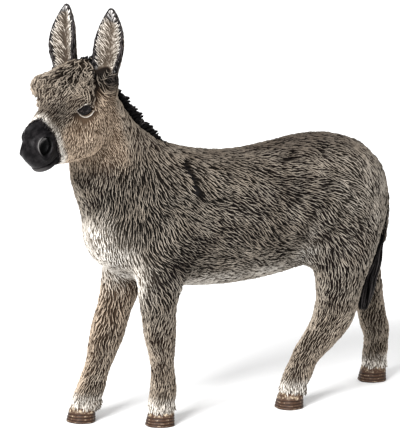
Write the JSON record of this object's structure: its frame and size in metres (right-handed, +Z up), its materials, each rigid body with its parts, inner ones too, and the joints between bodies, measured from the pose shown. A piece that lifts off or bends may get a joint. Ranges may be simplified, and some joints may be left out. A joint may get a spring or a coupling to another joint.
{
  "type": "toy donkey figurine",
  "caption": "Moulded toy donkey walking, head turned to its left, with a sculpted shaggy coat, upright ears, short dark mane, tufted tail and flat hooves.",
  "frame": {"origin": "middle of the footprint's bounding box, at the level of the four soles", "axes": "+Z up; the donkey's nose points to -X and its tail to +X; its left side faces -Y and its right side +Y"},
  "size_m": [0.0924, 0.0266, 0.0871],
  "materials": {
    "coat": "satin-matt paint, grey-brown with dark wash in the sculpted hair and pale dry brushing on it",
    "muzzle_skin": "satin charcoal paint on a smooth nose",
    "ear": "cream inside with a black rim, grey-brown back",
    "dark_hair": "black paint on coarse sculpted locks, faint grey highlights",
    "horn": "brown paint with grooves across and ivory highlights",
    "eye": "gloss black-brown paint"
  },
  "bodies": {
    "root": {"trunk": "coat", "neck": "coat", "head": "coat", "forelock": "coat", "tail": "coat", "fore_leg_left": "coat", "fore_leg_right": "coat", "hind_leg_left": "coat", "hind_leg_right": "coat", "muzzle": "muzzle_skin", "ear_left": "ear", "ear_right": "ear", "mane": "dark_hair", "tail_switch": "dark_hair", "eye_left": "eye", "eye_right": "eye", "hoof_fore_left": "horn", "hoof_fore_right": "horn", "hoof_hind_left": "horn", "hoof_hind_right": "horn"}
  },
  "joints": []
}
